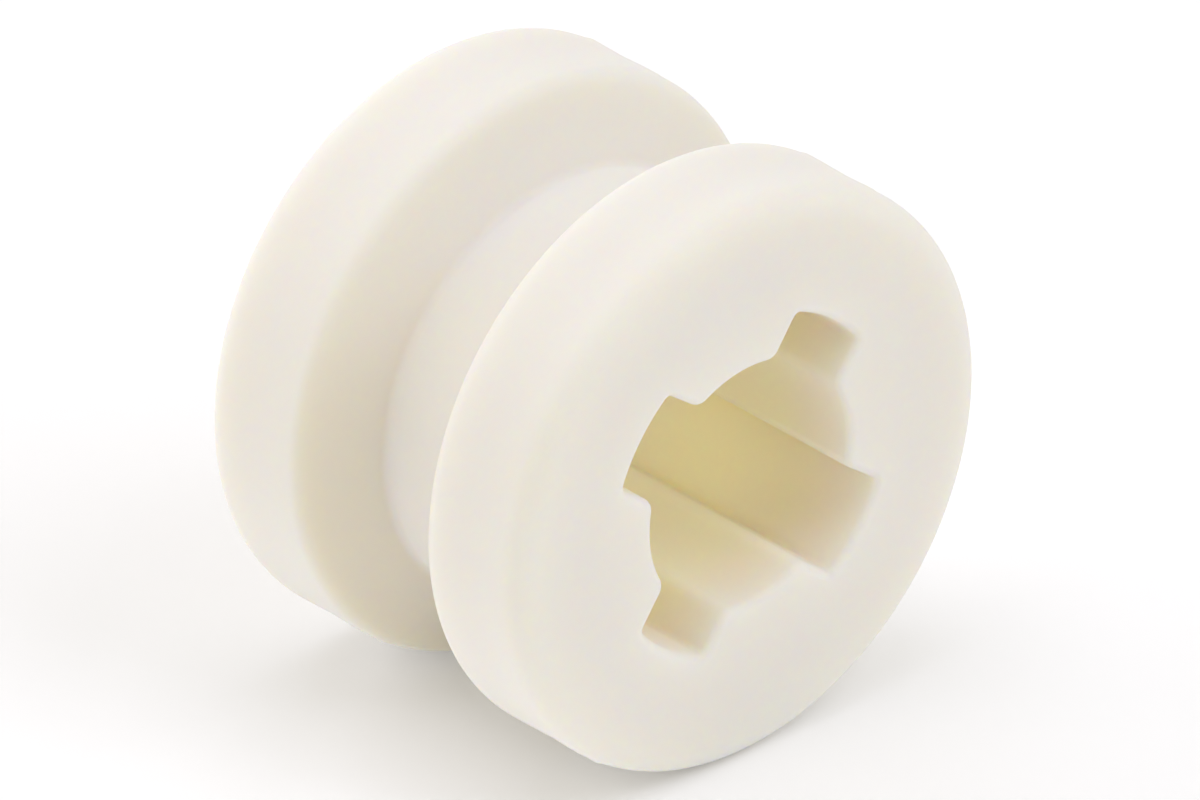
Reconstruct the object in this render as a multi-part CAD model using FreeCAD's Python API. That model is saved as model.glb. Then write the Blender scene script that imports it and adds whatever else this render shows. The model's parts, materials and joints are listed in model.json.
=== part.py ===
"""A one-piece moulded spool anchor: two round flanges, a waist between them, and a cross-slotted bore.

Frame: millimetres, +Z up, the spool's axis along Y, the front flange facing -Y.
Origin: on the axis, halfway along the spool, in the middle of the groove.
The whole spool is one injection moulding, so it is one solid in one node.
"""

import FreeCAD, Part
import os

from FreeCAD import Vector

# Driving dimensions, in mm.
FLANGE_RADIUS = 10.0
RIM_WIDTH = 4.3  # width of each flange at its rim
GROOVE_MOUTH = 6.1  # distance between the two rims
GROOVE_FLOOR = 3.3  # width of the cylindrical floor of the groove
WAIST_RADIUS = 7.3
BORE_RADIUS = 4.25  # the four lands of the bore, a clearance fit on an 8 mm shank
SLOT_TIP_RADIUS = 5.8  # from the axis to the rounded end wall of each slot
SLOT_WIDTH = 3.3
SLOT_COUNT = 4
SLOT_TURN = 36.5  # degrees from +Z towards +X to the first slot

# Edge radii, in mm.
OUTER_RIM_ROUND = 0.9
GROOVE_RIM_ROUND = 0.7
GROOVE_FLOOR_ROUND = 0.4
LAND_CORNER_ROUND = 0.5
SLOT_CORNER_ROUND = 0.25
MOUTH_ROUND = 0.3

# Derived dimensions, in mm.
LENGTH = 2 * RIM_WIDTH + GROOVE_MOUTH
HALF = LENGTH / 2
AXIS = Vector(0, 1, 0)
TOLERANCE = 1e-4


def revolved_spool():
    """The spool without its bore, turned about Y from its half section, with its edges rounded."""
    section = [
        (0, -HALF),
        (FLANGE_RADIUS, -HALF),
        (FLANGE_RADIUS, -GROOVE_MOUTH / 2),
        (WAIST_RADIUS, -GROOVE_FLOOR / 2),
        (WAIST_RADIUS, GROOVE_FLOOR / 2),
        (FLANGE_RADIUS, GROOVE_MOUTH / 2),
        (FLANGE_RADIUS, HALF),
        (0, HALF),
    ]
    points = [Vector(radius, along, 0) for radius, along in section]
    face = Part.Face(Part.makePolygon(points + points[:1]))
    solid = face.revolve(Vector(0, 0, 0), AXIS, 360)

    rounds = {
        (FLANGE_RADIUS, HALF): OUTER_RIM_ROUND,
        (FLANGE_RADIUS, GROOVE_MOUTH / 2): GROOVE_RIM_ROUND,
        (WAIST_RADIUS, GROOVE_FLOOR / 2): GROOVE_FLOOR_ROUND,
    }
    for (radius, along), rounding in rounds.items():
        edges = [edge for edge in solid.Edges if is_circle_at(edge, radius, along)]
        solid = solid.makeFillet(rounding, edges)
    return solid


def is_circle_at(edge, radius, along):
    """True for a round edge about the axis with that radius, at that distance either side of the middle."""
    curve = edge.Curve
    return (
        isinstance(curve, Part.Circle)
        and abs(curve.Radius - radius) < TOLERANCE
        and abs(abs(curve.Center.y) - along) < TOLERANCE
        and abs(curve.Axis.y) > 1 - TOLERANCE
    )


def bore_cutter():
    """The round bore and its slots as one solid, longer than the spool, with its lengthwise edges rounded."""
    reach = HALF + 1.0
    start = Vector(0, -reach, 0)
    cutter = Part.makeCylinder(BORE_RADIUS, 2 * reach, start, AXIS)
    tip_circle = Part.makeCylinder(SLOT_TIP_RADIUS, 2 * reach, start, AXIS)
    for number in range(SLOT_COUNT):
        corner = Vector(-SLOT_WIDTH / 2, -reach, 0)
        slot = Part.makeBox(SLOT_WIDTH, 2 * reach, 2 * SLOT_TIP_RADIUS, corner)
        slot.rotate(Vector(0, 0, 0), AXIS, SLOT_TURN + number * 360 / SLOT_COUNT)
        cutter = cutter.fuse(slot.common(tip_circle))
    cutter = cutter.removeSplitter()

    for radius, rounding in (
        (BORE_RADIUS, LAND_CORNER_ROUND),
        (SLOT_TIP_RADIUS, SLOT_CORNER_ROUND),
    ):
        edges = [edge for edge in cutter.Edges if is_lengthwise_at(edge, radius)]
        cutter = cutter.makeFillet(rounding, edges)
    return cutter


def is_lengthwise_at(edge, radius):
    """True for a straight edge along Y at that distance from the axis."""
    if not isinstance(edge.Curve, Part.Line) or abs(edge.Curve.Direction.y) < 1 - TOLERANCE:
        return False
    point = edge.Vertexes[0].Point
    return abs((point.x**2 + point.z**2) ** 0.5 - radius) < TOLERANCE


def anchor_spool():
    """The finished moulding: the spool, its cross-slotted bore, and the rounded mouths of the bore."""
    solid = revolved_spool().cut(bore_cutter())
    mouth_edges = [edge for edge in solid.Edges if is_mouth(edge)]
    return solid.makeFillet(MOUTH_ROUND, mouth_edges)


def is_mouth(edge):
    """True for an edge of the bore where it meets the front or the rear face."""
    box = edge.BoundBox
    in_face = box.YLength < TOLERANCE and abs(abs(box.Center.y) - HALF) < TOLERANCE
    furthest = max((v.Point.x**2 + v.Point.z**2) ** 0.5 for v in edge.Vertexes)
    return in_face and furthest < SLOT_TIP_RADIUS + TOLERANCE


def main():
    os.makedirs("parts", exist_ok=True)
    solid = anchor_spool()
    if not solid.isValid() or len(solid.Solids) != 1:
        raise RuntimeError("the spool is not one valid solid")
    solid.Solids[0].exportStep("parts/anchor_spool.step")
    print(f"length {LENGTH:.2f} mm, volume {solid.Volume:.1f} mm3, {len(solid.Faces)} faces")


main()
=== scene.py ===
"""The looks of a moulded plastic spool anchor: its visible mesh, its material and a plain studio.

Metres, in the frame of the CAD model: +Z up, the spool's axis along Y, the front face towards -Y.
"""

import json
import math

import bpy
import numpy as np
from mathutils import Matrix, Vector


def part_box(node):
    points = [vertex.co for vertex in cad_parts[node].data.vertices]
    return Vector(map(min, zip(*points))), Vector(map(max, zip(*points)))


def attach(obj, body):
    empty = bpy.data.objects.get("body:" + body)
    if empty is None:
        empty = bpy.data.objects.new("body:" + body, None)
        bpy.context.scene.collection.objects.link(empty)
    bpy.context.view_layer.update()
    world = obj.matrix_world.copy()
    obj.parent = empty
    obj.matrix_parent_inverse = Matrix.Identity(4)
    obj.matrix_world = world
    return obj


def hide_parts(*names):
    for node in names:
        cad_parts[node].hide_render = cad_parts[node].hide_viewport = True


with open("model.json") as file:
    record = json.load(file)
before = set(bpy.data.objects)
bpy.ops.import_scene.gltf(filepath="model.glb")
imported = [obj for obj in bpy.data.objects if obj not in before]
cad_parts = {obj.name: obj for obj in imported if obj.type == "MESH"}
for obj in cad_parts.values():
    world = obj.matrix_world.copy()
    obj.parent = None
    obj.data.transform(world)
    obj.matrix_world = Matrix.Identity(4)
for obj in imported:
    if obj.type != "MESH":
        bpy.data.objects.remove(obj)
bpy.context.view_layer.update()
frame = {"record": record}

MM = 0.001
NODE = "anchor_spool"

# ---------------------------------------------------------------- sizes

LOW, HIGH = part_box(NODE)
FLANGE_RADIUS = HIGH.x
HALF_LENGTH = HIGH.y
MOUNTS = {mount["name"]: mount for mount in frame["record"]["mounts"]}
BORE_RADIUS = MOUNTS["cross_bore"]["dims"]["r_mm"] * MM

GROOVE_MOUTH = 6.1 * MM
GROOVE_FLOOR = 3.3 * MM
WAIST_RADIUS = 7.3 * MM
SLOT_TIP_RADIUS = 5.8 * MM
SLOT_WIDTH = 3.3 * MM
SLOT_COUNT = 4
SLOT_TURN = math.radians(36.5)  # from +Z towards +X

OUTER_RIM_ROUND = 0.9 * MM
GROOVE_RIM_ROUND = 0.7 * MM
GROOVE_FLOOR_ROUND = 0.4 * MM
LAND_CORNER_ROUND = 0.5 * MM
SLOT_CORNER_ROUND = 0.25 * MM
MOUTH_ROUND = 0.3 * MM

# What the moulding leaves on the surface, all of it below the faces or inside the CAD box.
PARTING_HEIGHT = 0.035 * MM  # the mould's two halves meet in the plane of one pair of slots
PARTING_WIDTH = 0.07 * MM
PARTING_GAP = 0.3 * MM  # the line stops this far short of each end face
SINK_DEPTH = 0.05 * MM  # how far a thick face draws in as it cools
RIM_SINK_DEPTH = 0.6 * SINK_DEPTH
WAVE_DEPTH = 0.012 * MM
WAVES = [(1.0, 3, 420, 0.6), (0.7, 5, -690, 2.1)]  # share, lobes round, radians per metre, phase
EJECTOR_RADIUS = 0.85 * MM
EJECTOR_DEPTH = 0.10 * MM
GATE_RADIUS = 0.95 * MM
GATE_DEPTH = 0.22 * MM
GATE_NUB_RADIUS = 0.38 * MM
GATE_NUB_HEIGHT = 0.15 * MM
MARK_EDGE = 0.16 * MM  # the width of a mark's soft edge
MARK_CENTRE_RADIUS = 7.6 * MM

SAME_PLACE = 1e-9  # points closer than this are one point
SAME_PLANE = 1e-7  # and this close to an end face is on it

# ---------------------------------------------------------------- outlines


def arc(centre, radius, start, end, steps):
    """Points along an arc, from angle start to angle end, where angle 0 is +second and pi/2 is +first."""
    angles = np.linspace(start, end, steps + 1)
    return np.column_stack([centre[0] + radius * np.sin(angles), centre[1] + radius * np.cos(angles)])


def straight(start, end, steps):
    """Evenly spaced points from start to end, both included."""
    share = np.linspace(0, 1, steps + 1)[:, None]
    return (1 - share) * np.array(start) + share * np.array(end)


def joined(stretches):
    """Stretches that meet end to start, as one run of points with no doubles."""
    return np.vstack([stretches[0]] + [stretch[1:] for stretch in stretches[1:]])


def cross_eighth():
    """The bore's outline from the middle of a slot's tip to the middle of a land: points and normals.

    The first coordinate is across the slot and the second is out along it. Normals point into the plastic.
    """
    half = SLOT_WIDTH / 2
    tip_across = half - SLOT_CORNER_ROUND
    tip_centre = (tip_across, math.sqrt((SLOT_TIP_RADIUS - SLOT_CORNER_ROUND) ** 2 - tip_across**2))
    tip_angle = math.atan2(*tip_centre)
    land_across = half + LAND_CORNER_ROUND
    land_centre = (land_across, math.sqrt((BORE_RADIUS + LAND_CORNER_ROUND) ** 2 - land_across**2))
    land_angle = math.atan2(*land_centre)
    quarter = math.pi / 2
    middle = math.pi / SLOT_COUNT

    tip = arc((0, 0), SLOT_TIP_RADIUS, 0, tip_angle, 14)
    tip_corner = arc(tip_centre, SLOT_CORNER_ROUND, tip_angle, quarter, 6)
    side = straight((half, tip_centre[1]), (half, land_centre[1]), 8)
    land_corner = arc(land_centre, LAND_CORNER_ROUND, 3 * quarter, 2 * quarter + land_angle, 7)
    land = arc((0, 0), BORE_RADIUS, land_angle, middle, 20)

    outward = [
        tip / SLOT_TIP_RADIUS,
        (tip_corner - tip_centre) / SLOT_CORNER_ROUND,
        np.tile([1.0, 0.0], (len(side), 1)),
        (np.array(land_centre) - land_corner) / LAND_CORNER_ROUND,
        land / BORE_RADIUS,
    ]
    return joined([tip, tip_corner, side, land_corner, land]), joined(outward)


def turned(points, angle):
    """Points turned about the axis by angle, from the second coordinate towards the first."""
    sine, cosine = math.sin(angle), math.cos(angle)
    across, out = points[:, 0], points[:, 1]
    return np.column_stack([across * cosine + out * sine, out * cosine - across * sine])


def cross_outline():
    """The whole outline of the cross-slotted bore as (x, z) points and normals, once round."""
    points, normals = cross_eighth()
    middle = math.pi / SLOT_COUNT
    mirror = np.array([-1.0, 1.0])
    back_points = turned(points[::-1] * mirror, 2 * middle)
    back_normals = turned(normals[::-1] * mirror, 2 * middle)
    quarter_points = joined([points, back_points])[:-1]
    quarter_normals = joined([normals, back_normals])[:-1]
    angles = [SLOT_TURN + number * 2 * middle for number in range(SLOT_COUNT)]
    return (
        np.vstack([turned(quarter_points, angle) for angle in angles]),
        np.vstack([turned(quarter_normals, angle) for angle in angles]),
    )


def rounded_path(corners, roundings, line_steps, round_steps):
    """A run of straight lines with its inner corners rounded, as (radius, along) points."""
    corners = [np.array(corner, float) for corner in corners]
    stretches = []
    start = corners[0]
    for number in range(1, len(corners) - 1):
        corner, rounding = corners[number], roundings[number - 1]
        into = (corner - corners[number - 1]) / np.linalg.norm(corner - corners[number - 1])
        out = (corners[number + 1] - corner) / np.linalg.norm(corners[number + 1] - corner)
        turn = math.acos(float(np.clip(into @ out, -1, 1)))
        reach = rounding * math.tan(turn / 2)
        first = corner - into * reach
        side = out - into * float(into @ out)
        side /= np.linalg.norm(side)
        centre = first + side * rounding
        angles = np.linspace(0, turn, round_steps[number - 1] + 1)[:, None]
        bend = centre - rounding * np.cos(angles) * side + rounding * np.sin(angles) * into
        if np.linalg.norm(first - start) > SAME_PLACE:
            stretches.append(straight(start, first, line_steps[number - 1]))
        stretches.append(bend)
        start = bend[-1]
    if np.linalg.norm(corners[-1] - start) > SAME_PLACE:
        stretches.append(straight(start, corners[-1], line_steps[-1]))
    return joined(stretches)


def outer_profile():
    """The outside from the front face's edge, over both rims and the groove, to the rear face's edge."""
    corners = [
        (FLANGE_RADIUS - OUTER_RIM_ROUND, -HALF_LENGTH),
        (FLANGE_RADIUS, -HALF_LENGTH),
        (FLANGE_RADIUS, -GROOVE_MOUTH / 2),
        (WAIST_RADIUS, -GROOVE_FLOOR / 2),
        (WAIST_RADIUS, GROOVE_FLOOR / 2),
        (FLANGE_RADIUS, GROOVE_MOUTH / 2),
        (FLANGE_RADIUS, HALF_LENGTH),
        (FLANGE_RADIUS - OUTER_RIM_ROUND, HALF_LENGTH),
    ]
    roundings = [OUTER_RIM_ROUND, GROOVE_RIM_ROUND, GROOVE_FLOOR_ROUND]
    round_steps = [10, 8, 6]
    line_steps = [1, 10, 10, 10, 10, 10, 1]
    return rounded_path(
        corners, roundings + roundings[::-1], line_steps, round_steps + round_steps[::-1]
    )


# ---------------------------------------------------------------- mesh


def spool_rings():
    """Every ring of the surface in order, as one array of [ring, place round the ring, xyz].

    The rings run from the front mouth of the bore, over the outside, back through the bore to the start.
    """
    outline, normals = cross_outline()
    edge = outline + normals * MOUTH_ROUND
    angle = np.unwrap(np.arctan2(edge[:, 0], edge[:, 1]))
    around = np.column_stack([np.sin(angle), np.cos(angle)])
    profile = outer_profile()
    face_steps, mouth_steps, bore_steps = 26, 6, 28

    rings = []

    def add(flat, along):
        rings.append(np.column_stack([flat[:, 0], np.full(len(flat), along), flat[:, 1]]))

    mouth = np.linspace(math.pi / 2, 0, mouth_steps + 1)
    for turn in mouth:
        inset = MOUTH_ROUND * (1 - math.sin(turn))
        add(outline + normals * inset, -(HALF_LENGTH - MOUTH_ROUND + MOUTH_ROUND * math.cos(turn)))
    for share in np.linspace(0, 1, face_steps + 1)[1:]:
        add((1 - share) * edge + share * around * profile[0, 0], -HALF_LENGTH)
    for radius, along in profile[1:]:
        add(around * radius, along)
    for share in np.linspace(1, 0, face_steps + 1)[1:]:
        add((1 - share) * edge + share * around * profile[-1, 0], HALF_LENGTH)
    for turn in mouth[::-1][1:]:
        inset = MOUTH_ROUND * (1 - math.sin(turn))
        add(outline + normals * inset, HALF_LENGTH - MOUTH_ROUND + MOUTH_ROUND * math.cos(turn))
    for along in np.linspace(HALF_LENGTH - MOUTH_ROUND, -(HALF_LENGTH - MOUTH_ROUND), bore_steps + 1)[1:-1]:
        add(outline, along)
    return np.array(rings)


def smooth_step(value, low, high):
    """0 below low, 1 above high, and smooth between."""
    share = np.clip((value - low) / (high - low), 0, 1)
    return share * share * (3 - 2 * share)


def disc(points, turn, radius, edge=MARK_EDGE):
    """1 inside a round mark on an end face and 0 outside it. The mark is at angle turn round the axis."""
    centre = np.array([math.sin(turn), math.cos(turn)]) * MARK_CENTRE_RADIUS
    distance = np.linalg.norm(points[..., [0, 2]] - centre, axis=-1)
    return 1 - smooth_step(distance, radius - edge, radius)


def moulded_detail(points):
    """The surface as moulding leaves it: sunken, slightly wavy, with a parting line and rear marks."""
    x, along, z = points[..., 0], points[..., 1], points[..., 2]
    radius = np.hypot(x, z)
    turn = np.arctan2(x, z)
    outside = smooth_step(radius, SLOT_TIP_RADIUS + 1.0 * MM, SLOT_TIP_RADIUS + 1.4 * MM)
    on_face = (np.abs(along) > HALF_LENGTH - SAME_PLANE).astype(float)

    face_width = FLANGE_RADIUS - OUTER_RIM_ROUND - SLOT_TIP_RADIUS
    across_face = np.clip((radius - SLOT_TIP_RADIUS) / face_width, 0, 1)
    face_sink = SINK_DEPTH * np.sin(math.pi * across_face) ** 2 * on_face
    rim_middle = (HALF_LENGTH + GROOVE_MOUTH / 2) / 2
    across_rim = np.clip((np.abs(along) - rim_middle) / (HALF_LENGTH - rim_middle - OUTER_RIM_ROUND), -1, 1)
    on_rim = smooth_step(radius, FLANGE_RADIUS - 0.1 * MM, FLANGE_RADIUS - 0.02 * MM)
    rim_sink = RIM_SINK_DEPTH * np.cos(math.pi / 2 * across_rim) ** 2 * on_rim

    wave = sum(share * np.sin(lobes * turn + pitch * along + phase) for share, lobes, pitch, phase in WAVES)
    highest = sum(share for share, *_ in WAVES)
    wave = WAVE_DEPTH * (wave / highest - 1) * 0.5

    from_plane = radius * np.abs(np.sin(turn - SLOT_TURN))
    parting = PARTING_HEIGHT * np.exp(-((from_plane / PARTING_WIDTH) ** 2)) * outside * (1 - on_face)

    short_of_face = np.abs(along) < HALF_LENGTH - PARTING_GAP
    outward = wave * on_rim - rim_sink + parting * short_of_face
    share = 1 + outward / np.maximum(radius, MM)
    x = x * share
    z = z * share

    rear = on_face * (along > 0)
    land = SLOT_TURN + math.pi / SLOT_COUNT
    marks = sum(disc(points, land + number * math.pi / 2, EJECTOR_RADIUS) for number in range(SLOT_COUNT))
    gate_turn = SLOT_TURN + math.pi / 2
    dimple = GATE_DEPTH * disc(points, gate_turn, GATE_RADIUS, 3 * MARK_EDGE)
    nub = GATE_NUB_HEIGHT * disc(points, gate_turn, GATE_NUB_RADIUS)
    inward = face_sink + rear * (EJECTOR_DEPTH * marks + dimple - nub)
    along = along - np.sign(along) * inward
    return np.stack([x, along, z], axis=-1)


def spool_mesh():
    """The closed surface of the spool as a mesh of quads."""
    rings = moulded_detail(spool_rings())
    ring_count, round_count = rings.shape[:2]
    index = np.arange(ring_count * round_count).reshape(ring_count, round_count)
    following = np.roll(index, -1, axis=0)
    corners = [index, np.roll(index, -1, axis=1), np.roll(following, -1, axis=1), following]
    faces = np.stack(corners, axis=-1).reshape(-1, 4)
    mesh = bpy.data.meshes.new("spool_body")
    mesh.from_pydata(rings.reshape(-1, 3).tolist(), [], faces.tolist())
    mesh.shade_smooth()
    mesh.validate()
    return mesh


# ---------------------------------------------------------------- materials


class Nodes:
    """A short way to write the nodes of a material or a world."""

    def __init__(self, owner):
        owner.use_nodes = True
        self.owner = owner
        self.tree = owner.node_tree
        self.tree.nodes.clear()

    def finish(self, shader, output="ShaderNodeOutputMaterial"):
        made = self.node(output)
        self.tree.links.new(shader.outputs[0], made.inputs["Surface"])
        return self.owner

    def node(self, kind, inputs=(), **settings):
        made = self.tree.nodes.new(kind)
        for key, value in settings.items():
            setattr(made, key, value)
        for key, value in dict(inputs).items():
            if isinstance(value, bpy.types.NodeSocket):
                self.tree.links.new(value, made.inputs[key])
            else:
                made.inputs[key].default_value = value
        return made

    def math(self, operation, first, second=0.0, third=0.0):
        made = self.node("ShaderNodeMath", {0: first, 1: second, 2: third}, operation=operation)
        return made.outputs[0]

    def ramp(self, value, low, high):
        """0 where value is low, 1 where it is high, and smooth between."""
        inputs = {"Value": value, "From Min": low, "From Max": high}
        made = self.node("ShaderNodeMapRange", inputs, interpolation_type="SMOOTHSTEP")
        return made.outputs[0]

    def mix(self, share, first, second, blend="MIX"):
        made = self.node("ShaderNodeMix", data_type="RGBA", blend_type=blend, clamp_factor=True)
        sockets = {"Factor_Float": share, "A_Color": first, "B_Color": second}
        for socket in made.inputs:
            if socket.identifier in sockets:
                value = sockets[socket.identifier]
                if isinstance(value, bpy.types.NodeSocket):
                    self.tree.links.new(value, socket)
                else:
                    socket.default_value = value
        return [out for out in made.outputs if out.identifier == "Result_Color"][0]

    def noise(self, where, scale, detail):
        inputs = {"Vector": where, "Scale": scale, "Detail": detail}
        return self.node("ShaderNodeTexNoise", inputs).outputs["Fac"]


BODY_COLOUR = (0.87, 0.85, 0.80, 1)
GROOVE_SHADE_COLOUR = (0.825, 0.785, 0.685, 1)  # painted shade on the groove's sides, darker and warmer, fullest low down
BORE_GLOW_COLOUR = (0.998, 0.89, 0.645, 1)  # painted glow of light scattered through the plastic, all through the bore but near its mouths
PATCH_TINT = (0.985, 0.975, 0.95, 1)
PATCH_STRENGTH = 0.25
PATCHES_PER_METRE = 160.0
GRAINS_PER_METRE = 5200.0
SCATTER_LENGTH = 1.8 * MM
MOUTH_FADE = 3.6 * MM  # from a mouth of the bore to where its painted yellow glow is full
SHADE_TOP = 9 * MM  # above this height the groove's sides have their least painted shade
SHADE_BASE = 1 * MM  # and below this height their full painted shade
LEAST_SHADE = 0.15
SMOOTHEST, ROUGHEST = 0.50, 0.60
GRAIN_STRENGTH = 0.12
GRAIN_HEIGHT = 0.02 * MM


def moulded_plastic():
    """Slightly translucent off-white plastic, with painted shade on the groove's sides, fullest low down,
    and a painted yellow glow deep in the bore.
    """
    nodes = Nodes(bpy.data.materials.new("moulded_plastic"))
    where = nodes.node("ShaderNodeTexCoord").outputs["Object"]
    x, y, z = nodes.node("ShaderNodeSeparateXYZ", {0: where}).outputs
    flat = nodes.node("ShaderNodeCombineXYZ", {0: x, 2: z}).outputs[0]
    radius = nodes.node("ShaderNodeVectorMath", {0: flat}, operation="LENGTH").outputs["Value"]
    along = nodes.math("ABSOLUTE", y)

    patches = nodes.noise(where, PATCHES_PER_METRE, 3.0)
    grain = nodes.noise(where, GRAINS_PER_METRE, 2.0)

    # Each ramp runs from where a painted shade or glow ends to where it is full.
    # Painted light: the bore is painted a bright warm yellow that stands in for light scattering through
    # the translucent walls, fading out near each mouth.
    in_bore = nodes.ramp(radius, SLOT_TIP_RADIUS + 0.5 * MM, SLOT_TIP_RADIUS + 0.05 * MM)
    depth = nodes.ramp(along, HALF_LENGTH, HALF_LENGTH - MOUTH_FADE)
    bore = nodes.math("MULTIPLY", in_bore, depth)
    # Painted shade: the groove's sides, between the rims' edges and the waist, get a darker, warmer colour.
    inside_rim = nodes.ramp(along, GROOVE_MOUTH / 2 + 0.35 * MM, GROOVE_MOUTH / 2 - 0.15 * MM)
    above_waist = nodes.ramp(radius, WAIST_RADIUS + 0.02 * MM, WAIST_RADIUS + 0.25 * MM)
    groove_shade_mask = nodes.math("MULTIPLY", inside_rim, above_waist)
    # Painted shade: the groove's shade is fuller lower down, as if lit from above.
    low_shade = nodes.ramp(z, SHADE_TOP, SHADE_BASE)
    low_shade = nodes.math("MULTIPLY_ADD", low_shade, 1 - LEAST_SHADE, LEAST_SHADE)

    # Painted shade mixed into the body's colour on the groove's sides.
    colour = nodes.mix(nodes.math("MULTIPLY", groove_shade_mask, low_shade), BODY_COLOUR, GROOVE_SHADE_COLOUR)
    patched = nodes.math("MULTIPLY", nodes.ramp(patches, 0.35, 0.65), PATCH_STRENGTH)
    colour = nodes.mix(patched, colour, PATCH_TINT, "MULTIPLY")
    # The bore's painted yellow glow, laid over everything else.
    colour = nodes.mix(bore, colour, BORE_GLOW_COLOUR)

    spread = {"Value": patches, "From Min": 0.3, "From Max": 0.7, "To Min": SMOOTHEST, "To Max": ROUGHEST}
    rough = nodes.node("ShaderNodeMapRange", spread)
    relief = {"Height": grain, "Strength": GRAIN_STRENGTH, "Distance": GRAIN_HEIGHT}
    bump = nodes.node("ShaderNodeBump", relief)

    shader = nodes.node(
        "ShaderNodeBsdfPrincipled",
        {
            "Base Color": colour,
            "Roughness": rough.outputs[0],
            "Normal": bump.outputs[0],
            "IOR": 1.49,
            "Specular IOR Level": 0.2,
            "Subsurface Weight": 1.0,
            "Subsurface Radius": (1.0, 0.8, 0.4),
            "Subsurface Scale": SCATTER_LENGTH,
        },
        subsurface_method="RANDOM_WALK",
    )
    return nodes.finish(shader)


FLOOR_DARK = (0.93, 0.93, 0.93, 1)
FLOOR_PALE = (0.95, 0.95, 0.95, 1)
FLOOR_GLOW = 0.10  # lifts the floor to near white round the spool


def floor_paint():
    """The plain pale floor: matt white with a very faint mottle."""
    nodes = Nodes(bpy.data.materials.new("floor_paint"))
    where = nodes.node("ShaderNodeTexCoord").outputs["Object"]
    mottle = nodes.ramp(nodes.noise(where, 9.0, 3.0), 0.3, 0.7)
    colour = nodes.mix(mottle, FLOOR_DARK, FLOOR_PALE)
    shader = nodes.node(
        "ShaderNodeBsdfPrincipled",
        {
            "Base Color": colour,
            "Roughness": 0.9,
            "Specular IOR Level": 0.0,
            "Emission Color": (1, 1, 1, 1),
            "Emission Strength": FLOOR_GLOW,
        },
    )
    return nodes.finish(shader)


# ---------------------------------------------------------------- pieces


def add_object(name, data):
    made = bpy.data.objects.new(name, data)
    bpy.context.scene.collection.objects.link(made)
    return made


def add_spool():
    spool = add_object("spool_body", spool_mesh())
    spool.data.materials.append(moulded_plastic())
    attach(spool, "root")
    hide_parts(NODE)
    return spool


def add_floor():
    """A round floor that the spool's rims rest on."""
    radius, sides = 4.0, 96
    angles = np.linspace(0, 2 * math.pi, sides, endpoint=False)
    rim = [(radius * math.cos(angle), radius * math.sin(angle), LOW.z) for angle in angles]
    mesh = bpy.data.meshes.new("floor")
    mesh.from_pydata(rim, [], [list(range(sides))])
    floor = add_object("floor", mesh)
    floor.data.materials.append(floor_paint())
    return floor


# ---------------------------------------------------------------- studio

COOL_WHITE = (0.85, 0.865, 1.0)
ROSE_WHITE = (0.93, 0.89, 0.96)
WARM_SURROUND = (0.45, 0.43, 0.36, 1)
SOFT_LIGHTS = [  # name, place, side in metres, watts, colour
    ("key_light", (0.25, -0.45, 0.62), 0.5, 2.0, COOL_WHITE),
    ("left_light", (-0.8, 0.1, 0.25), 0.6, 0.65, COOL_WHITE),
    ("top_light", (-0.05, 0.05, 0.8), 0.6, 2.1, COOL_WHITE),
    ("rear_right_light", (0.2, 0.8, 0.2), 0.5, 1.2, COOL_WHITE),
    ("rear_left_light", (-0.35, 0.75, 0.35), 0.5, 1.9, ROSE_WHITE),
]


def add_area_light(name, place, size, power, colour):
    """A square light at place, turned to face the spool."""
    data = bpy.data.lights.new(name, "AREA")
    data.shape = "SQUARE"
    data.size = size
    data.energy = power
    data.color = colour
    lamp = add_object(name, data)
    lamp.location = place
    lamp.rotation_euler = (-Vector(place)).to_track_quat("-Z", "Y").to_euler()
    return lamp


def add_studio():
    """A dim, slightly warm surround and the soft lights."""
    nodes = Nodes(bpy.data.worlds.new("studio"))
    shader = nodes.node("ShaderNodeBackground", {"Color": WARM_SURROUND, "Strength": 1.0})
    bpy.context.scene.world = nodes.finish(shader, "ShaderNodeOutputWorld")
    for light in SOFT_LIGHTS:
        add_area_light(*light)
    bpy.context.scene.view_settings.view_transform = "Standard"


def add_camera():
    """The camera, far off with a long lens, at the angle that shows the front face and the groove."""
    azimuth, elevation = math.radians(-42.8), math.radians(30.55)
    distance, lens = 0.7546, 716.6
    aim_right, aim_up = 0.20 * MM, -0.04 * MM
    back = Vector((
        math.sin(azimuth) * math.cos(elevation),
        -math.cos(azimuth) * math.cos(elevation),
        math.sin(elevation),
    ))
    right = Vector((math.cos(azimuth), math.sin(azimuth), 0))
    up = back.cross(right)
    data = bpy.data.cameras.new("camera")
    data.lens = lens
    data.sensor_width = 36
    data.clip_start = 0.01
    data.clip_end = 20
    camera = add_object("camera", data)
    camera.location = right * aim_right + up * aim_up + back * distance
    camera.rotation_euler = (-back).to_track_quat("-Z", "Y").to_euler()
    bpy.context.scene.camera = camera


add_camera()
add_spool()
add_floor()
add_studio()
